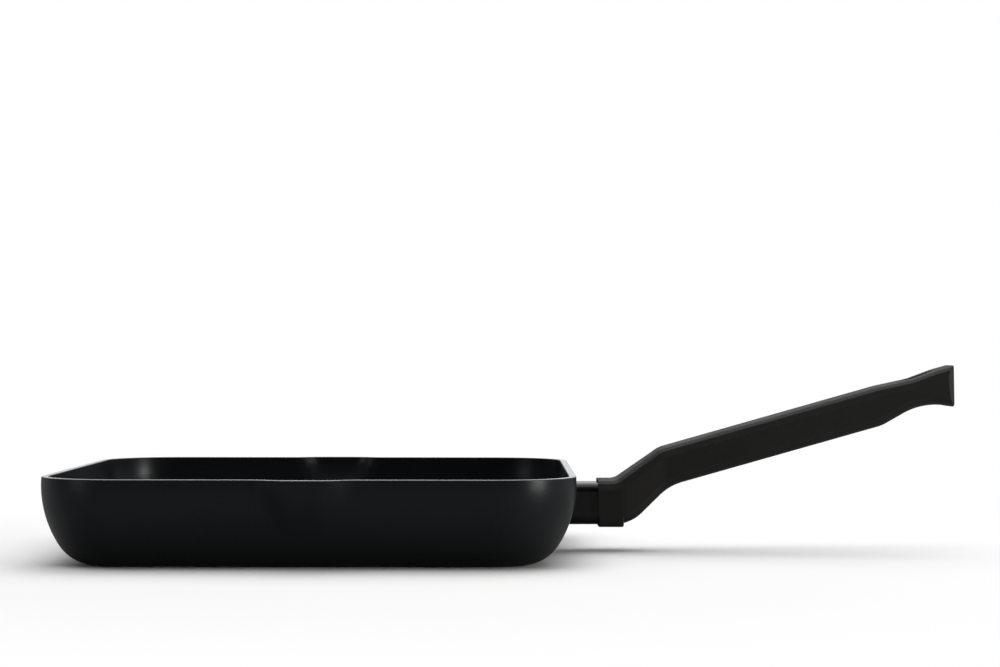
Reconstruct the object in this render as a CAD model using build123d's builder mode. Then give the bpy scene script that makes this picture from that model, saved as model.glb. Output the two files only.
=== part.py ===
from build123d import *
import math
import os

os.makedirs("parts", exist_ok=True)

# Square cast-aluminium grill pan with a fixed side handle, in millimetres.
# The origin is the middle of the base, on the surface that the pan stands on.
# X runs out along the handle, Y across the pan from spout to spout, Z up.

# Pan body: a rounded-square bowl whose wall is two arcs, a slack one above a tight one
rim_width = 260.0
rim_corner_radius = 40.2
pan_height = 43.0
wall_thickness = 3.5
base_thickness = 5.0
wall_upper_radius = 54.3
wall_lower_radius = 20.9
wall_rim_lean = 4.2
rim_edge_chamfer = 0.3

# Pouring spouts in the middle of the two walls beside the handle, fading out down the wall
# Each one's ends are sunk a hair into the wall, so that the two surfaces cross cleanly
spout_width = 52.0
spout_mouth = 20.0
spout_reach = 5.5
spout_drop = 30.0
spout_foot_width = 22.0
spout_foot_mouth = 6.0
spout_sink = 0.1
spout_foot_sink = 0.05
spout_side_margin = 8.0
spout_seam_round = 9.0
spout_levels = 5
flank_steps = 4

# Grill ribs on the floor, running in line with the handle
rib_count = 15
rib_pitch = 13.0
rib_length = 192.0
rib_width = 5.6
rib_height = 4.0
rib_draft = 14.0
rib_top_round = 1.2

# Perforated steel plate pressed into the underside, with aluminium in its holes
plate_diameter = 168.0
plate_thickness = 0.8
plate_hole_diameter = 6.0
plate_ring_count = 4
plate_ring_pitch = 18.0
plate_ring_step = 6

# Neck: a thin sleeve round the handle bracket, butted against the wall
neck_length = 13.8
neck_width = 28.0
neck_height = 21.5
neck_below_rim = 18.15
neck_corner_radius = 4.5
neck_wall = 1.5
neck_seat_depth = 1.5

# Bracket: a flange that follows the wall, and a tongue that carries the grip
flange_thickness = 3.0
flange_gap = 0.4
tongue_width = 9.4
tongue_height = 8.0
tongue_length = 32.0
tongue_end_round = 2.0

# Rivets through the wall and the flange, one on each side of the tongue
rivet_spacing = 17.2
rivet_diameter = 4.8
rivet_head_diameter = 9.0
rivet_head_height = 1.8
rivet_head_round = 1.5
rivet_tail_diameter = 6.8
rivet_tail_height = 1.6
rivet_tail_round = 0.9
rivet_overlap = 0.5

# Grip collar, the part that takes the end of the neck, and the pad under it for the screw
collar_width = 32.0
collar_above_neck = 1.7
collar_below_neck = 1.2
collar_flat = 13.2
pad_length = 13.2
pad_drop = 1.9
pad_corner_radius = 3.0
pad_edge_chamfer = 0.5

# Grip bend, from the collar up to the straight run
riser_start = 9.2
riser_length = 28.6
riser_angle = 35.1
underside_run = 6.0
underside_rise = 1.95
underside_foot_round = 6.0
riser_foot_round = 8.0
riser_top_round = 12.0
riser_under_round = 20.0
riser_belly_round = 28.0

# Grip straight run, with a thumb dip above and a finger scoop below, measured back from the tip
grip_angle = 15.9
grip_length = 158.3
grip_thickness = 20.1
grip_width = 27.0
grip_width_start = 34.2
grip_width_round = 30.0
belly_start = -1.0
dip_start = 40.6
dip_low = 23.1
dip_end = 9.2
dip_depth = 1.1
dip_round = 24.0
scoop_start = 44.5
scoop_top = 20.3
scoop_depth = 6.0
scoop_start_round = 20.0
scoop_round = 34.0
tip_height = 21.8
tip_width = 28.4
tip_corner_above = 3.9
tip_corner_below = 1.9
tip_edge_round = 0.6
shoulder_size = 3.4
shoulder_foot = 1.9
crown_round = 3.0
belly_round = 4.5

# Hanging hole through the tip of the grip
hang_hole_length = 18.0
hang_hole_width = 11.0
hang_hole_from_tip = 19.0
hang_hole_edge = 1.0

# Handle screw, driven upwards through the pad into the tongue, with a split washer
screw_from_front = 9.3
screw_diameter = 4.0
screw_hole_diameter = 4.6
screw_tip_margin = 0.3
screw_head_diameter = 5.8
screw_head_height = 2.4
screw_head_round = 1.3
screw_head_proud = 0.35
screw_recess_diameter = 6.4
screw_cross_length = 3.2
screw_cross_width = 0.8
screw_cross_depth = 1.3
washer_diameter = 6.0
washer_thickness = 0.9
washer_split = 0.8

# Clearances
plate_clearance = 0.1
rivet_clearance = 0.05
seat_clearance = 0.15
socket_clearance = 0.3
socket_end_gap = 0.6
thread_clearance = 0.05
washer_clearance = 0.1

# How far drills and trimming shapes run past what they cut
drill_reach = 20.0
trim_height = 200.0

# Shares of a face's direction that tell a top, a crown, a slope and a side from each other
top_share = 0.5
crown_share = 0.85
slope_share = 0.3
side_share = 0.9
mouth_share = 0.7

# Places worked out from the sizes above
half_rim = rim_width / 2
corner_centre = half_rim - rim_corner_radius
neck_middle = pan_height - neck_below_rim
grip_front = half_rim + neck_length
collar_top = neck_middle + neck_height / 2 + collar_above_neck
pad_bottom = neck_middle - neck_height / 2 - collar_below_neck
screw_x = grip_front + screw_from_front
head_bottom = pad_bottom - screw_head_proud
recess_depth = screw_head_height + washer_thickness - screw_head_proud
screw_tip = neck_middle + tongue_height / 2 - screw_tip_margin

# How far from the grip's middle plane an edge has to lie to count as one of its long side edges
edge_side = grip_width / 4


def wall_slope(depth):
    """Slope of the outer wall from the vertical, in radians, at a depth below the rim."""
    return math.asin(depth / wall_upper_radius - math.sin(math.radians(wall_rim_lean)))


def wall_reach(depth, inset=0.0):
    """Distance from the pan's middle to the wall moved inwards by inset, at a depth on its upper arc."""
    lean = math.radians(wall_rim_lean)
    arc_centre = half_rim - wall_upper_radius * math.cos(lean)
    below_centre = depth - wall_upper_radius * math.sin(lean)
    return arc_centre + math.sqrt((wall_upper_radius - inset) ** 2 - below_centre**2)


def bowl_solid(inset, floor):
    """Solid inside the wall surface moved inwards by inset, from the floor up to the rim."""
    upper_radius = wall_upper_radius - inset
    lower_radius = wall_lower_radius - inset
    lean = math.radians(wall_rim_lean)
    drop = pan_height - floor
    blend_sine = (drop - lower_radius - upper_radius * math.sin(lean)) / (upper_radius - lower_radius)
    blend = math.degrees(math.asin(blend_sine))
    corner_frame = Plane(origin=(corner_centre, corner_centre, 0), x_dir=(1, 0, 0), z_dir=(0, -1, 0))
    with BuildPart() as sector:
        with BuildSketch(corner_frame) as section:
            with BuildLine():
                rim_point = (rim_corner_radius - inset, pan_height)
                down = (math.sin(lean), -math.cos(lean))
                upper = JernArc(rim_point, down, upper_radius, -(wall_rim_lean + blend))
                lower = JernArc(upper @ 1, upper % 1, lower_radius, -(90 - blend))
                Polyline(lower @ 1, (0, floor), (0, pan_height), rim_point)
            make_face()
        extrude(section.sketch, amount=2 * corner_centre)
        corner_axis = Axis((corner_centre, corner_centre, 0), (0, 0, 1))
        revolve(axis=corner_axis, revolution_arc=90)
    with BuildPart() as bowl:
        with BuildSketch(Plane.XY.offset(floor)):
            Rectangle(2 * corner_centre, 2 * corner_centre)
        extrude(amount=drop)
        with PolarLocations(0, 4):
            add(sector.part)
    return bowl.part


def spout_outline(depth, inset):
    """Plan of a spout at a depth below the rim: a flat mouth and two flanks that ease into the wall."""
    fade = depth / spout_drop
    swell = spout_reach * math.cos(fade * math.pi / 2) ** 2
    swell += spout_sink - fade * (spout_sink - spout_foot_sink)
    root = (spout_width + fade * (spout_foot_width - spout_width)) / 2
    mouth = (spout_mouth + fade * (spout_foot_mouth - spout_mouth)) / 2
    base = wall_reach(depth, inset) - spout_sink
    flank = []
    for step in range(flank_steps + 1):
        climb = step / flank_steps
        slope = math.atan(6 * climb * (1 - climb) * swell / (root - mouth))
        x = root - climb * (root - mouth) - inset * math.sin(slope)
        y = base + swell * climb**2 * (3 - 2 * climb) + inset * (1 - math.cos(slope))
        flank.append((x, y))
    side = spout_width / 2 + spout_side_margin
    other_flank = [(-x, y) for x, y in flank]
    with BuildSketch(Plane.XY.offset(pan_height - depth)) as outline:
        with BuildLine():
            points = [(-side, base), *other_flank, (0, base + swell), *reversed(flank), (side, base)]
            Spline(*points, tangents=[(1, 0), (1, 0)])
            Polyline(points[-1], (side, corner_centre), (-side, corner_centre), points[0])
        make_face()
    return outline.sketch


def spout_solid(inset):
    """Spout that bulges towards +Y and fades out downwards, with its surface moved inwards by inset."""
    depths = [level * spout_drop / spout_levels for level in range(spout_levels + 1)]
    with BuildPart() as spout:
        loft([spout_outline(depth, inset).face() for depth in depths])
    return spout.part


def plate_holes(diameter):
    """Sketch of the plate's holes: one in the middle and rings of them around it."""
    with BuildSketch(Plane.XY) as holes:
        Circle(diameter / 2)
        for ring in range(1, plate_ring_count + 1):
            with PolarLocations(ring * plate_ring_pitch, plate_ring_step * ring):
                Circle(diameter / 2)
    return holes.sketch


outer_bowl = bowl_solid(0, 0)
inner_bowl = bowl_solid(wall_thickness, base_thickness)
outer_spout = spout_solid(0)
inner_spout = spout_solid(wall_thickness)

grown_bowl = bowl_solid(-flange_thickness, -flange_thickness)
rivet_slope = math.degrees(wall_slope(neck_below_rim))
rivet_frame = Plane(
    origin=(wall_reach(neck_below_rim), 0, neck_middle),
    x_dir=(0, 1, 0),
    z_dir=(math.cos(math.radians(rivet_slope)), 0, -math.sin(math.radians(rivet_slope))),
)
rivet_sides = {"rivet_front": -rivet_spacing / 2, "rivet_rear": rivet_spacing / 2}

# Pan body: bowl, spouts, ribs, and a recess below with studs that fill the plate's holes
with BuildPart() as pan_body:
    add(outer_bowl)
    for spout in (outer_spout, outer_spout.mirror(Plane.XZ)):
        add(spout)
        seams = pan_body.edges(Select.LAST).filter_by(lambda edge: (edge @ 0.5).Z < pan_height - spout_sink)
        fillet(seams, radius=spout_seam_round)
    add(inner_bowl, mode=Mode.SUBTRACT)
    add(inner_spout, mode=Mode.SUBTRACT)
    add(inner_spout.mirror(Plane.XZ), mode=Mode.SUBTRACT)
    chamfer(pan_body.edges().group_by(Axis.Z)[-1], length=rim_edge_chamfer)
    with BuildSketch(Plane.XY.offset(base_thickness)):
        with GridLocations(0, rib_pitch, 1, rib_count):
            SlotOverall(rib_length, rib_width)
    extrude(amount=rib_height, taper=rib_draft)
    rib_top = base_thickness + rib_height
    rib_band = (rib_top - rib_top_round, rib_top + rib_top_round)
    rib_edges = pan_body.edges().filter_by_position(Axis.Z, *rib_band)
    fillet(rib_edges, radius=rib_top_round)
    with BuildSketch(Plane.XY):
        Circle(plate_diameter / 2 + plate_clearance)
        add(plate_holes(plate_hole_diameter - 2 * plate_clearance), mode=Mode.SUBTRACT)
    extrude(amount=plate_thickness, mode=Mode.SUBTRACT)
    with BuildSketch(rivet_frame):
        with Locations(*[(side, 0) for side in rivet_sides.values()]):
            Circle(rivet_diameter / 2 + rivet_clearance)
    extrude(amount=drill_reach, both=True, mode=Mode.SUBTRACT)

# Induction plate: perforated steel disc, its face level with the base
with BuildPart() as induction_plate:
    with BuildSketch(Plane.XY):
        Circle(plate_diameter / 2)
        add(plate_holes(plate_hole_diameter), mode=Mode.SUBTRACT)
    extrude(amount=plate_thickness)

# Handle bracket: a flange that follows the outside of the wall, and a tongue with a threaded hole
with BuildPart() as handle_bracket:
    with BuildSketch(Plane.YZ.offset(corner_centre)):
        with Locations((0, neck_middle)):
            RectangleRounded(
                neck_width - 2 * neck_wall - 2 * flange_gap,
                neck_height - 2 * neck_wall - 2 * flange_gap,
                neck_corner_radius - neck_wall - flange_gap,
            )
    extrude(amount=2 * rim_corner_radius)
    add(grown_bowl, mode=Mode.INTERSECT)
    with BuildSketch(Plane.YZ.offset(corner_centre)):
        with Locations((0, neck_middle)):
            Rectangle(tongue_width, tongue_height)
    extrude(amount=rim_corner_radius + tongue_length)
    fillet(handle_bracket.edges().group_by(Axis.X)[-1], radius=tongue_end_round)
    add(outer_bowl, mode=Mode.SUBTRACT)
    with BuildSketch(rivet_frame):
        with Locations(*[(side, 0) for side in rivet_sides.values()]):
            Circle(rivet_diameter / 2 + rivet_clearance)
    extrude(amount=drill_reach, both=True, mode=Mode.SUBTRACT)
    with BuildSketch(Plane.XY):
        with Locations((screw_x, 0)):
            Circle(screw_diameter / 2 + thread_clearance)
    extrude(amount=pan_height, mode=Mode.SUBTRACT)

# Rivets across the wall and the flange, each with a domed head inside and a pressed tail outside
wall_skin = grown_bowl - inner_bowl
for rivet_name, rivet_side in rivet_sides.items():
    with BuildPart() as rivet:
        with BuildSketch(rivet_frame):
            with Locations((rivet_side, 0)):
                Circle(rivet_head_diameter / 2)
        extrude(amount=-wall_thickness - rivet_head_height)
        fillet(rivet.faces().sort_by(Axis.X)[0].edges(), radius=rivet_head_round)
        with BuildSketch(rivet_frame):
            with Locations((rivet_side, 0)):
                Circle(rivet_tail_diameter / 2)
        extrude(amount=flange_thickness + rivet_tail_height)
        fillet(rivet.faces().sort_by(Axis.X)[-1].edges(), radius=rivet_tail_round)
        add(wall_skin, mode=Mode.SUBTRACT)
        with BuildSketch(rivet_frame.offset(flange_thickness + rivet_overlap)):
            with Locations((rivet_side, 0)):
                Circle(rivet_diameter / 2)
        extrude(amount=-flange_thickness - wall_thickness - 2 * rivet_overlap)
    rivet.part.label = rivet_name
    export_step(rivet.part, f"parts/{rivet_name}.step")

# Neck sleeve: thin-walled, its wall end cut to the outside of the pan
with BuildPart() as neck_sleeve:
    with BuildSketch(Plane.YZ.offset(corner_centre)):
        with Locations((0, neck_middle)):
            RectangleRounded(neck_width, neck_height, neck_corner_radius)
            RectangleRounded(
                neck_width - 2 * neck_wall,
                neck_height - 2 * neck_wall,
                neck_corner_radius - neck_wall,
                mode=Mode.SUBTRACT,
            )
    extrude(amount=rim_corner_radius + neck_length + neck_seat_depth)
    add(outer_bowl, mode=Mode.SUBTRACT)


def leaning(start, length, angle, below=0.0):
    """Point reached from start along a line that leans up at an angle, then square below it."""
    lean = math.radians(angle)
    x = start[0] + length * math.cos(lean) + below * math.sin(lean)
    z = start[1] + length * math.sin(lean) - below * math.cos(lean)
    return (x, z)


# Corner points of the grip in the side view, along its top and back along its underside
bend_foot = (grip_front + riser_start, collar_top)
bend_top = leaning(bend_foot, riser_length, riser_angle)
dip_start_point = leaning(bend_top, grip_length - dip_start, grip_angle)
dip_low_point = leaning(bend_top, grip_length - dip_low, grip_angle, dip_depth)
dip_end_point = leaning(bend_top, grip_length - dip_end, grip_angle)
tip_top = leaning(bend_top, grip_length, grip_angle)
tip_bottom = (tip_top[0], tip_top[1] - tip_height)
scoop_top_point = leaning(bend_top, grip_length - scoop_top, grip_angle, grip_thickness - scoop_depth)
scoop_start_point = leaning(bend_top, grip_length - scoop_start, grip_angle, grip_thickness)
belly_point = leaning(bend_top, belly_start, grip_angle, grip_thickness)
underside_z = pad_bottom + pad_drop
underside_foot = (grip_front + collar_flat, underside_z)
underside_bend = (underside_foot[0] + underside_run, underside_z + underside_rise)

hang_centre = leaning(bend_top, grip_length - hang_hole_from_tip, grip_angle)
grip_lean = math.radians(grip_angle)
hang_frame = Plane(
    origin=(hang_centre[0], 0, hang_centre[1]),
    x_dir=(math.cos(grip_lean), 0, math.sin(grip_lean)),
    z_dir=(-math.sin(grip_lean), 0, math.cos(grip_lean)),
)

# Rounded corners of that outline, each with its radius
outline_corners = [
    (bend_foot, riser_foot_round),
    (bend_top, riser_top_round),
    (dip_start_point, dip_round),
    (dip_low_point, dip_round),
    (dip_end_point, dip_round),
    (tip_top, 0),
    (tip_bottom, 0),
    (scoop_top_point, scoop_round),
    (scoop_start_point, scoop_start_round),
    (belly_point, riser_belly_round),
    (underside_bend, riser_under_round),
    (underside_foot, underside_foot_round),
]


def tip_wedge(side):
    """Wedge that cuts a corner off the grip's end on one side, wider above than below."""
    growth = drill_reach * (tip_corner_above - tip_corner_below) / tip_height
    low = (tip_bottom[1] - drill_reach, tip_corner_below - growth)
    high = (tip_top[1] + drill_reach, tip_corner_above + growth)
    with BuildPart() as wedge:
        for height, size in (low, high):
            with BuildSketch(Plane.XY.offset(height)):
                with BuildLine():
                    Polyline(
                        (tip_top[0] - size - drill_reach, side * (tip_width / 2 + drill_reach)),
                        (tip_top[0] + drill_reach, side * (tip_width / 2 - size - drill_reach)),
                        (tip_top[0] + drill_reach, side * (tip_width / 2 + drill_reach)),
                        close=True,
                    )
                make_face()
        loft(ruled=True)
    return wedge.part


tip_wedges = [tip_wedge(side) for side in (-1, 1)]

# Pad under the collar, as wide as the collar, that takes the screw's head
with BuildPart() as pad:
    with BuildSketch(Plane.YZ.offset(grip_front)):
        with Locations((0, (pad_bottom + neck_middle) / 2)):
            RectangleRounded(collar_width, neck_middle - pad_bottom, pad_corner_radius)
    extrude(amount=pad_length)
    chamfer(pad.edges().group_by(Axis.X)[0] + pad.edges().group_by(Axis.X)[-1], length=pad_edge_chamfer)

# Grip: moulded handle with a seat for the neck, a socket for the tongue and a hanging hole
with BuildPart() as handle_grip:
    with BuildSketch(Plane.XZ) as side_view:
        with BuildLine():
            front_top = (grip_front, collar_top)
            front_bottom = (grip_front, underside_z)
            corner_points = [point for point, radius in outline_corners]
            Polyline(front_top, *corner_points, front_bottom, close=True)
        make_face()
        for point, radius in outline_corners:
            if radius > 0:
                fillet(side_view.vertices().sort_by_distance(point)[0], radius=radius)
    extrude(amount=collar_width, both=True)
    with BuildSketch(Plane.XY):
        with BuildLine():
            side = FilletPolyline(
                (grip_front, collar_width / 2),
                (grip_front + collar_flat, collar_width / 2),
                (grip_front + grip_width_start, grip_width / 2),
                (tip_top[0], tip_width / 2),
                radius=[grip_width_round, grip_width_round],
            )
            Line(side @ 1, (tip_top[0], 0))
            Line(side @ 0, (grip_front, 0))
            mirror(about=Plane.XZ)
        make_face()
    extrude(amount=trim_height, mode=Mode.INTERSECT)
    top_faces = handle_grip.faces().filter_by(lambda face: face.normal_at().Z > top_share)
    shoulders = top_faces.edges().filter_by(lambda edge: abs((edge @ 0.5).Y) > edge_side)
    chamfer(shoulders, length=shoulder_size)
    side_faces = handle_grip.faces().filter_by(lambda face: abs(face.normal_at().Y) > side_share)
    side_edges = side_faces.edges()
    slope_faces = handle_grip.faces().filter_by(lambda face: abs(face.normal_at().Y) < side_share)
    slope_faces = slope_faces.filter_by(lambda face: slope_share < face.normal_at().Z < crown_share)
    slope_feet = slope_faces.edges().filter_by(lambda edge: any(edge.is_same(other) for other in side_edges))
    chamfer(slope_feet, length=shoulder_foot)
    crown_faces = handle_grip.faces().filter_by(lambda face: face.normal_at().Z > crown_share)
    crown_edges = crown_faces.edges().filter_by(lambda edge: abs((edge @ 0.5).Y) > edge_side)
    fillet(crown_edges, radius=crown_round)
    under_faces = handle_grip.faces().filter_by(lambda face: face.normal_at().Z < -top_share)
    belly_edges = under_faces.edges().filter_by(lambda edge: abs((edge @ 0.5).Y) > edge_side)
    fillet(belly_edges, radius=belly_round)
    end_edges = handle_grip.faces().sort_by(Axis.X)[-1].edges()
    fillet(end_edges.filter_by(Axis.Y), radius=tip_edge_round)
    for wedge in tip_wedges:
        add(wedge, mode=Mode.SUBTRACT)

    add(pad.part)

    # Seat for the end of the neck, and the socket for the tongue
    with BuildSketch(Plane.YZ.offset(grip_front)):
        with Locations((0, neck_middle)):
            RectangleRounded(
                neck_width + 2 * seat_clearance,
                neck_height + 2 * seat_clearance,
                neck_corner_radius + seat_clearance,
            )
    extrude(amount=neck_seat_depth, mode=Mode.SUBTRACT)
    with BuildSketch(Plane.YZ.offset(grip_front)):
        with Locations((0, neck_middle)):
            Rectangle(tongue_width + 2 * socket_clearance, tongue_height + 2 * socket_clearance)
    extrude(amount=half_rim + tongue_length + socket_end_gap - grip_front, mode=Mode.SUBTRACT)

    # Recess for the screw's head and washer, and the hole up to the socket
    with BuildSketch(Plane.XY.offset(pad_bottom)):
        with Locations((screw_x, 0)):
            Circle(screw_recess_diameter / 2)
    extrude(amount=recess_depth, mode=Mode.SUBTRACT)
    with BuildSketch(Plane.XY.offset(pad_bottom)):
        with Locations((screw_x, 0)):
            Circle(screw_hole_diameter / 2)
    extrude(amount=neck_middle - pad_bottom, mode=Mode.SUBTRACT)

    # Hanging hole, square to the grip's top, with rounded mouths
    with BuildSketch(hang_frame):
        SlotOverall(hang_hole_length, hang_hole_width)
    extrude(amount=grip_thickness + drill_reach, both=True, mode=Mode.SUBTRACT)
    hang_edges = handle_grip.faces(Select.LAST).edges()
    hang_mouths = hang_edges.filter_by(lambda edge: abs((edge % 0.5).dot(hang_frame.z_dir)) < mouth_share)
    fillet(hang_mouths, radius=hang_hole_edge)
handle_grip.part.label = "handle_grip"
export_step(handle_grip.part, "parts/handle_grip.step")

# Screw: domed head with a cross recess, and a plain shank for the thread
with BuildPart() as handle_screw:
    with BuildSketch(Plane.XY.offset(head_bottom)):
        with Locations((screw_x, 0)):
            Circle(screw_head_diameter / 2)
    extrude(amount=screw_head_height)
    fillet(handle_screw.edges().group_by(Axis.Z)[0], radius=screw_head_round)
    with BuildSketch(Plane.XY.offset(head_bottom)):
        with Locations((screw_x, 0)):
            Rectangle(screw_cross_length, screw_cross_width)
            Rectangle(screw_cross_width, screw_cross_length)
    extrude(amount=screw_cross_depth, mode=Mode.SUBTRACT)
    with BuildSketch(Plane.XY.offset(head_bottom + screw_head_height)):
        with Locations((screw_x, 0)):
            Circle(screw_diameter / 2)
    extrude(amount=screw_tip - head_bottom - screw_head_height)
handle_screw.part.label = "handle_screw"
export_step(handle_screw.part, "parts/handle_screw.step")

# Split washer between the screw's head and the pad
with BuildPart() as split_washer:
    with BuildSketch(Plane.XY.offset(head_bottom + screw_head_height)):
        with Locations((screw_x, 0)):
            Circle(washer_diameter / 2)
            Circle(screw_diameter / 2 + washer_clearance, mode=Mode.SUBTRACT)
            with Locations((washer_diameter / 4, 0)):
                Rectangle(washer_diameter / 2, washer_split, mode=Mode.SUBTRACT)
    extrude(amount=washer_thickness)
split_washer.part.label = "split_washer"
export_step(split_washer.part, "parts/split_washer.step")

pan_body.part.label = "pan_body"
export_step(pan_body.part, "parts/pan_body.step")
induction_plate.part.label = "induction_plate"
export_step(induction_plate.part, "parts/induction_plate.step")
handle_bracket.part.label = "handle_bracket"
export_step(handle_bracket.part, "parts/handle_bracket.step")
neck_sleeve.part.label = "neck_sleeve"
export_step(neck_sleeve.part, "parts/neck_sleeve.step")
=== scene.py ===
import math

import bpy
from mathutils import Euler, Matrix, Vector


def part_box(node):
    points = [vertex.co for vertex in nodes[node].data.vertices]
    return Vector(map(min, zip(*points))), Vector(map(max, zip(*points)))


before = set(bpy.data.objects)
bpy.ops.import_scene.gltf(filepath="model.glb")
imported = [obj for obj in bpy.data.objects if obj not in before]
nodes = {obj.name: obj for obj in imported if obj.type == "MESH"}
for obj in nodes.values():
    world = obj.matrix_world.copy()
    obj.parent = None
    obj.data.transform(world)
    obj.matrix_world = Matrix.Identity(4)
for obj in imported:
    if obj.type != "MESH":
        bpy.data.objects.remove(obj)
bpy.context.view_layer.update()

# Camera, worked out from the outline of rim, wall and corners, in metres and degrees
LENS_MM = 89.07
SENSOR_MM = 36.0
CAMERA_AT = (0.0917, -1.2957, 0.1026)
CAMERA_PITCH = 0.47
CAMERA_YAW = 0.05
CAMERA_ROLL = 0.07

# Where the pan's coating ends, in metres: just below the top of the rim, and on the underside at
# the edge of the turned ring round the steel disc
RIM_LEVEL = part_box("pan_body")[1].z
RIM_EDGE_START = RIM_LEVEL - 0.00012
RIM_EDGE_END = RIM_LEVEL - 0.00004
TURNED_RADIUS = 0.096
TURNED_EDGE_SOFTNESS = 0.0003
TURNED_EDGE_WANDER = 0.0006

# Heights between which a face comes to count as inside the pan, just below the cooking surface
INSIDE_START = 0.004
INSIDE_END = 0.0046

# Upward part of a face's normal: where the face starts to count as facing that way, and where it does
FACES_UP = (0.86, 0.94)
FACES_DOWN = (-0.9, -0.97)
FACES_UP_ROUGHLY = (0.1, 0.4)

# Values that most of a noise pattern lies between
NOISE_LOW = 0.3
NOISE_HIGH = 0.7

# How far a turned ring wanders in each radian, in metres
RING_WANDER = 0.0012

# Turn from the eye, between 0 and 1, over which a matt surface loses its gloss, and what is left of it
MATT_START = 0.4
MATT_END = 0.95
MATT_SHARE = 0.25

# Sockets of the colour mix node, which share their names with other sockets
MIX_FIRST = 6
MIX_SECOND = 7
MIX_RESULT = 2

# Brightness of the studio on each side, where 1 shows a white surface as white
OVERHEAD_LEVEL = 0.6
BEHIND_LEVEL = 0.62
RIGHT_LEVEL = 0.7
LEFT_LEVEL = 0.08
GENERAL_LEVEL = 0.05

# Sides that the studio is bright on: the direction of the side, the cosines of the angle to it at
# which the light starts and is full, and its level. The overhead light leans back by some degrees.
OVERHEAD_LEAN = math.radians(25.0)
STUDIO_SIDES = (
    ((0.0, math.sin(OVERHEAD_LEAN), math.cos(OVERHEAD_LEAN)), 0.15, 0.75, OVERHEAD_LEVEL),
    ((0.0, 1.0, 0.0), 0.05, 0.6, BEHIND_LEVEL),
    ((1.0, 0.0, 0.0), 0.7, 1.0, RIGHT_LEVEL),
    ((-1.0, 0.0, 0.0), 0.35, 1.0, LEFT_LEVEL),
)

# Floor: half its width in metres, the share of light it gives back to the pan, the share that the
# camera sees, and the distances from the pan's middle between which it turns to pure white
FLOOR_HALF = 6.0
FLOOR_BOUNCE = 0.38
FLOOR_WHITE = 0.90
FLOOR_FADE_START = 0.22
FLOOR_FADE_END = 0.5

WHITE = (1.0, 1.0, 1.0)
WARM_WHITE = (1.0, 0.97, 0.93)


def rgb(red, green, blue):
    return (red, green, blue, 1.0)


def grey(level):
    return rgb(level, level, level)


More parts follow.
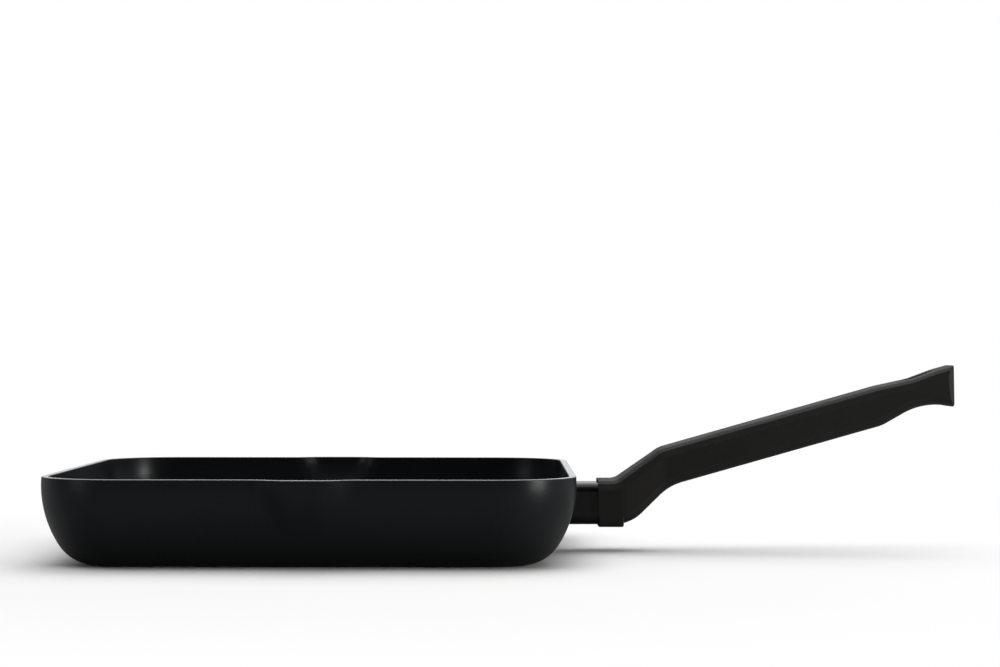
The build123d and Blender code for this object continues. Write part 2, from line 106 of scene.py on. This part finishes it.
class Graph:
    """Node tree of a material or of the world, with short calls for the nodes that are used often."""

    def __init__(self, owner, output_kind):
        self.owner = owner
        owner.use_nodes = True
        self.tree = owner.node_tree
        self.tree.nodes.clear()
        self.output = self.add(output_kind)
        self.places = self.add("ShaderNodeTexCoord").outputs
        self.coordinates = self.places["Object"]

    def add(self, kind, **settings):
        node = self.tree.nodes.new(kind)
        for key, value in settings.items():
            setattr(node, key, value)
        return node

    def join(self, source, socket):
        """Links a socket to another, or sets it to a number, a colour or a vector."""
        if isinstance(source, (int, float, tuple)):
            socket.default_value = source
        else:
            self.tree.links.new(source, socket)

    def shader(self, **values):
        node = self.add("ShaderNodeBsdfPrincipled")
        for key, value in values.items():
            self.join(value, node.inputs[key.replace("_", " ")])
        return node

    def math(self, operation, first, second=0.0):
        node = self.add("ShaderNodeMath", operation=operation)
        self.join(first, node.inputs[0])
        self.join(second, node.inputs[1])
        return node.outputs[0]

    def plus(self, first, second):
        return self.math("ADD", first, second)

    def minus(self, first, second):
        return self.math("SUBTRACT", first, second)

    def times(self, first, second):
        return self.math("MULTIPLY", first, second)

    def vector_math(self, operation, first, second):
        node = self.add("ShaderNodeVectorMath", operation=operation)
        self.join(first, node.inputs[0])
        self.join(second, node.inputs[1])
        return node.outputs

    def stretched(self, scale):
        """Object coordinates, scaled along each axis."""
        return self.vector_math("MULTIPLY", self.coordinates, scale)["Vector"]

    def share_along(self, vector, direction):
        """Part of a vector that points in a direction."""
        return self.vector_math("DOT_PRODUCT", vector, direction)["Value"]

    def parts(self, vector):
        node = self.add("ShaderNodeSeparateXYZ")
        self.join(vector, node.inputs[0])
        return node.outputs

    def radius(self):
        """Distance from the Z axis."""
        place = self.parts(self.coordinates)
        squares = self.plus(self.math("POWER", place[0], 2.0), self.math("POWER", place[1], 2.0))
        return self.math("SQRT", squares)

    def noise(self, size, detail=2.0, roughness=0.5, distortion=0.0, vector=None):
        """Noise whose features are about size metres across."""
        node = self.add("ShaderNodeTexNoise")
        self.join(vector or self.coordinates, node.inputs["Vector"])
        self.join(1.0 / size, node.inputs["Scale"])
        self.join(detail, node.inputs["Detail"])
        self.join(roughness, node.inputs["Roughness"])
        self.join(distortion, node.inputs["Distortion"])
        return node.outputs["Fac"]

    def turned(self, size):
        """Noise drawn out into rings around the Z axis, about size metres apart."""
        place = self.parts(self.coordinates)
        angle = self.math("ARCTAN2", place[1], place[0])
        rings = self.add("ShaderNodeCombineXYZ")
        self.join(self.radius(), rings.inputs[0])
        self.join(self.times(angle, RING_WANDER), rings.inputs[1])
        return self.noise(size, detail=4.0, roughness=0.65, vector=rings.outputs[0])

    def cells(self, size):
        """Distance from the middle of irregular cells about size metres across."""
        node = self.add("ShaderNodeTexVoronoi")
        self.join(self.coordinates, node.inputs["Vector"])
        self.join(1.0 / size, node.inputs["Scale"])
        return node.outputs["Distance"]

    def ramp(self, value, low, high, to_low=0.0, to_high=1.0):
        """Value taken smoothly from the range low..high to the range to_low..to_high."""
        node = self.add("ShaderNodeMapRange", interpolation_type="SMOOTHSTEP")
        for socket, number in zip(node.inputs, (value, low, high, to_low, to_high)):
            self.join(number, socket)
        return node.outputs[0]

    def spread(self, noise, to_low=0.0, to_high=1.0):
        """Noise spread over the range to_low..to_high."""
        return self.ramp(noise, NOISE_LOW, NOISE_HIGH, to_low, to_high)

    def blend(self, share, first, second):
        """Colour that goes from the first to the second as share goes from 0 to 1."""
        node = self.add("ShaderNodeMix", data_type="RGBA")
        self.join(share, node.inputs["Factor"])
        self.join(first, node.inputs[MIX_FIRST])
        self.join(second, node.inputs[MIX_SECOND])
        return node.outputs[MIX_RESULT]

    def blend_shaders(self, share, first, second):
        node = self.add("ShaderNodeMixShader")
        self.join(share, node.inputs[0])
        self.join(first.outputs[0], node.inputs[1])
        self.join(second.outputs[0], node.inputs[2])
        return node

    def matt_edge(self, level):
        """Gloss level that dies away where the surface turns from the eye, as on a rough coat."""
        facing = self.add("ShaderNodeLayerWeight").outputs["Facing"]
        return self.ramp(facing, MATT_START, MATT_END, level, level * MATT_SHARE)

    def bump(self, height, depth):
        """Normal of a surface whose height of 0..1 stands for depth metres."""
        node = self.add("ShaderNodeBump")
        self.join(1.0, node.inputs["Strength"])
        self.join(depth, node.inputs["Distance"])
        self.join(height, node.inputs["Height"])
        return node.outputs[0]

    def seen(self):
        """1 for what the camera sees directly, and 0 for light and reflections."""
        return self.add("ShaderNodeLightPath").outputs["Is Camera Ray"]

    def finish(self, shader):
        self.join(shader.outputs[0], self.output.inputs["Surface"])
        return self.owner


def material_graph(name):
    return Graph(bpy.data.materials.new(name), "ShaderNodeOutputMaterial")


def coated_aluminium():
    """Pan: baked black coating, cut away to bare metal on the rim and on the ring round the disc."""
    speck_edge = (0.05, 0.16)
    speck_share = 0.22
    inside_polish = 0.03
    peel_share = 0.75
    g = material_graph("coated_aluminium")
    height = g.parts(g.coordinates)[2]
    upward = g.parts(g.add("ShaderNodeNewGeometry").outputs["Normal"])[2]

    # Where the coating has been turned or ground off
    at_rim = g.times(g.ramp(height, RIM_EDGE_START, RIM_EDGE_END), g.ramp(upward, *FACES_UP))
    wandering_radius = g.plus(g.radius(), g.times(g.noise(size=0.02), TURNED_EDGE_WANDER))
    outer_edge = TURNED_RADIUS + TURNED_EDGE_SOFTNESS
    inner_edge = TURNED_RADIUS - TURNED_EDGE_SOFTNESS
    at_foot = g.times(g.ramp(wandering_radius, outer_edge, inner_edge), g.ramp(upward, *FACES_DOWN))
    bare = g.math("MAXIMUM", at_rim, at_foot)
    coated = g.minus(1.0, bare)

    # Coating: orange peel, fine grit, faint cloudiness and pale specks, a little smoother inside
    peel = g.noise(size=0.0016, detail=3.0, roughness=0.55)
    grit = g.noise(size=0.00028, detail=2.0, roughness=0.6)
    cloud = g.noise(size=0.035, detail=3.0, roughness=0.5, distortion=0.4)
    speck = g.ramp(g.cells(size=0.0009), *speck_edge, to_low=1.0, to_high=0.0)
    inside = g.times(g.ramp(height, INSIDE_START, INSIDE_END), g.ramp(upward, *FACES_UP_ROUGHLY))
    black = g.blend(cloud, rgb(0.0072, 0.0085, 0.0093), rgb(0.0096, 0.0110, 0.0119))
    black = g.blend(g.times(speck, speck_share), black, rgb(0.030, 0.032, 0.033))
    coat_rough = g.plus(g.spread(grit, 0.27, 0.35), g.spread(cloud, -0.02, 0.03))
    coat_rough = g.minus(coat_rough, g.times(inside, inside_polish))

    # Bare metal: fine grain on the rim, turned rings under the foot
    rim_grain = g.noise(size=0.0004, detail=3.0, vector=g.stretched((1.0, 1.0, 0.1)))
    rings = g.turned(size=0.00035)
    marks = g.plus(g.times(rim_grain, at_rim), g.times(rings, at_foot))
    metal = g.blend(g.spread(marks), rgb(0.40, 0.41, 0.41), rgb(0.60, 0.61, 0.61))
    metal_rough = g.spread(marks, 0.34, 0.48)

    relief = g.plus(g.times(peel, peel_share), g.times(grit, 1.0 - peel_share))
    relief = g.plus(g.times(relief, coated), marks)
    shader = g.shader(
        Base_Color=g.blend(bare, black, metal),
        Metallic=bare,
        Roughness=g.plus(g.times(metal_rough, bare), g.times(coat_rough, coated)),
        Specular_IOR_Level=g.matt_edge(0.16),
        Specular_Tint=rgb(0.89, 0.96, 1.0),
        Normal=g.bump(relief, depth=0.000022),
    )
    return g.finish(shader)


def base_steel():
    """Disc in the base: stainless steel with turned rings."""
    g = material_graph("base_steel")
    rings = g.turned(size=0.00022)
    cloud = g.noise(size=0.03)
    shader = g.shader(
        Base_Color=g.blend(g.spread(rings), rgb(0.40, 0.39, 0.375), rgb(0.62, 0.61, 0.59)),
        Metallic=1.0,
        Roughness=g.plus(g.spread(rings, 0.24, 0.38), g.spread(cloud, -0.03, 0.03)),
        Normal=g.bump(rings, depth=0.00001),
    )
    return g.finish(shader)


def bracket_aluminium():
    """Bracket: cast skin with a soft dimpled grain."""
    g = material_graph("bracket_aluminium")
    grain = g.noise(size=0.0007, detail=4.0, roughness=0.6)
    cloud = g.noise(size=0.009, detail=3.0)
    shader = g.shader(
        Base_Color=g.blend(cloud, rgb(0.52, 0.53, 0.54), rgb(0.66, 0.67, 0.67)),
        Metallic=1.0,
        Roughness=g.spread(grain, 0.42, 0.58),
        Normal=g.bump(grain, depth=0.00006),
    )
    return g.finish(shader)


def rivet_aluminium():
    """Rivets: pressed heads with fine scuffs and a cloudy polish."""
    g = material_graph("rivet_aluminium")
    scuffs = g.noise(size=0.0003, detail=3.0, roughness=0.6)
    cloud = g.noise(size=0.003)
    shader = g.shader(
        Base_Color=g.blend(cloud, rgb(0.68, 0.69, 0.70), rgb(0.82, 0.83, 0.84)),
        Metallic=1.0,
        Roughness=g.plus(g.spread(scuffs, 0.22, 0.32), g.spread(cloud, -0.03, 0.04)),
        Normal=g.bump(scuffs, depth=0.00001),
    )
    return g.finish(shader)


def gloss_black_coating():
    """Sleeve: smooth gloss black paint, slightly wavy, with a trace of dust."""
    dust_edge = (0.62, 0.74)
    dust_roughness = 0.06
    g = material_graph("gloss_black_coating")
    wave = g.noise(size=0.0035, roughness=0.4)
    dust = g.ramp(g.noise(size=0.0004), *dust_edge)
    shader = g.shader(
        Base_Color=g.blend(wave, rgb(0.0040, 0.0045, 0.0042), rgb(0.0050, 0.0056, 0.0052)),
        Roughness=g.plus(g.spread(wave, 0.12, 0.17), g.times(dust, dust_roughness)),
        Specular_IOR_Level=0.22,
        Normal=g.bump(wave, depth=0.00001),
    )
    return g.finish(shader)


def black_phenolic():
    """Grip: matt moulded resin with an even grain, small pits and faint flow marks."""
    pit_edge = (0.1, 0.55)
    grain_share = 0.6
    g = material_graph("black_phenolic")
    grain = g.noise(size=0.00055, detail=3.0, roughness=0.65)
    pits = g.ramp(g.cells(size=0.00075), *pit_edge)
    flow = g.noise(size=0.03, detail=3.0, distortion=0.6)
    relief = g.plus(g.times(grain, grain_share), g.times(pits, 1.0 - grain_share))
    mottle = g.times(g.plus(flow, grain), 0.5)
    shader = g.shader(
        Base_Color=g.blend(mottle, rgb(0.0058, 0.0058, 0.0052), rgb(0.0088, 0.0087, 0.0078)),
        Roughness=g.plus(g.spread(relief, 0.42, 0.52), g.spread(flow, -0.03, 0.04)),
        Specular_IOR_Level=g.matt_edge(0.28),
        Normal=g.bump(relief, depth=0.00004),
    )
    return g.finish(shader)


def zinc_steel():
    """Screw and washer: zinc plate with a faint cloud and fine lines along Z."""
    g = material_graph("zinc_steel")
    lines = g.noise(size=0.00025, detail=3.0, vector=g.stretched((1.0, 1.0, 0.15)))
    cloud = g.noise(size=0.002, detail=3.0)
    shader = g.shader(
        Base_Color=g.blend(cloud, rgb(0.55, 0.56, 0.58), rgb(0.70, 0.70, 0.69)),
        Metallic=1.0,
        Roughness=g.spread(lines, 0.28, 0.42),
        Normal=g.bump(lines, depth=0.00001),
    )
    return g.finish(shader)


# Nodes that each material goes on
MATERIAL_NODES = {
    coated_aluminium: ("pan_body",),
    base_steel: ("induction_plate",),
    bracket_aluminium: ("handle_bracket",),
    rivet_aluminium: ("rivet_front", "rivet_rear"),
    gloss_black_coating: ("neck_sleeve",),
    black_phenolic: ("handle_grip",),
    zinc_steel: ("handle_screw", "split_washer"),
}


def dress_nodes():
    for make_material, node_names in MATERIAL_NODES.items():
        material = make_material()
        for node_name in node_names:
            for slot in nodes[node_name].material_slots:
                slot.material = material


def make_floor():
    """Plain plate that takes the shadow, and turns to pure white for the camera farther out."""
    mesh = bpy.data.meshes.new("floor")
    corners = [(x * FLOOR_HALF, y * FLOOR_HALF, 0) for x, y in ((-1, -1), (1, -1), (1, 1), (-1, 1))]
    mesh.from_pydata(corners, [], [(0, 1, 2, 3)])
    floor = bpy.data.objects.new("floor", mesh)
    bpy.context.scene.collection.objects.link(floor)

    g = material_graph("floor")
    seen = g.seen()
    plain = g.add("ShaderNodeBsdfDiffuse")
    g.join(g.blend(seen, grey(FLOOR_BOUNCE), grey(FLOOR_WHITE)), plain.inputs["Color"])
    white = g.add("ShaderNodeEmission")
    g.join(1.0, white.inputs["Strength"])
    far = g.times(g.ramp(g.radius(), FLOOR_FADE_START, FLOOR_FADE_END), seen)
    mesh.materials.append(g.finish(g.blend_shaders(far, plain, white)))


def make_world():
    """Studio that is bright on a few sides and dim elsewhere, and that the camera sees as pure white."""
    g = Graph(bpy.data.worlds.new("studio"), "ShaderNodeOutputWorld")
    level = 0.0
    for direction, start, full, side_level in STUDIO_SIDES:
        share = g.share_along(g.places["Generated"], direction)
        level = g.math("MAXIMUM", level, g.ramp(share, start, full, to_high=side_level))
    studio = g.add("ShaderNodeBackground")
    g.join(grey(1.0), studio.inputs["Color"])
    g.join(g.plus(level, GENERAL_LEVEL), studio.inputs["Strength"])
    white = g.add("ShaderNodeBackground")
    g.join(grey(1.0), white.inputs["Color"])
    g.join(1.0, white.inputs["Strength"])
    bpy.context.scene.world = g.finish(g.blend_shaders(g.seen(), studio, white))


def softbox(name, place, target, size, watts, colour=WHITE):
    """Rectangular area lamp that looks at a target."""
    lamp = bpy.data.lights.new(name, "AREA")
    lamp.shape = "RECTANGLE"
    lamp.size, lamp.size_y = size
    lamp.energy = watts
    lamp.color = colour
    holder = bpy.data.objects.new(name, lamp)
    bpy.context.scene.collection.objects.link(holder)
    holder.location = place
    holder.rotation_euler = (Vector(target) - Vector(place)).to_track_quat("-Z", "Y").to_euler()


def make_softboxes():
    """Two large lamps above and behind, and two small ones low in front, right and left."""
    softbox("softbox_top", place=(-0.15, 0.1, 1.9), target=(0.1, 0.0, 0.0), size=(2.2, 1.3), watts=15.5)
    softbox("softbox_back", place=(0.40, 1.25, 1.55), target=(0.05, 0.0, 0.0), size=(1.8, 1.4), watts=14.0)
    softbox(
        "softbox_right",
        place=(1.80, -0.93, 0.22),
        target=(0.1, -0.1, 0.03),
        size=(0.6, 0.4),
        watts=19.0,
        colour=WARM_WHITE,
    )
    softbox(
        "softbox_left",
        place=(-1.68, -1.10, 0.26),
        target=(-0.1, -0.1, 0.02),
        size=(0.6, 0.4),
        watts=3.0,
    )


def make_camera():
    """Camera at the photograph's viewing angle."""
    data = bpy.data.cameras.new("camera")
    data.lens = LENS_MM
    data.sensor_width = SENSOR_MM
    camera = bpy.data.objects.new("camera", data)
    bpy.context.scene.collection.objects.link(camera)
    camera.location = CAMERA_AT
    tilt = (math.radians(90 + CAMERA_PITCH), math.radians(-CAMERA_ROLL), math.radians(-CAMERA_YAW))
    camera.rotation_euler = Euler(tilt, "XYZ")
    bpy.context.scene.camera = camera


dress_nodes()
make_floor()
make_world()
make_softboxes()
make_camera()
bpy.context.scene.view_settings.view_transform = "Standard"
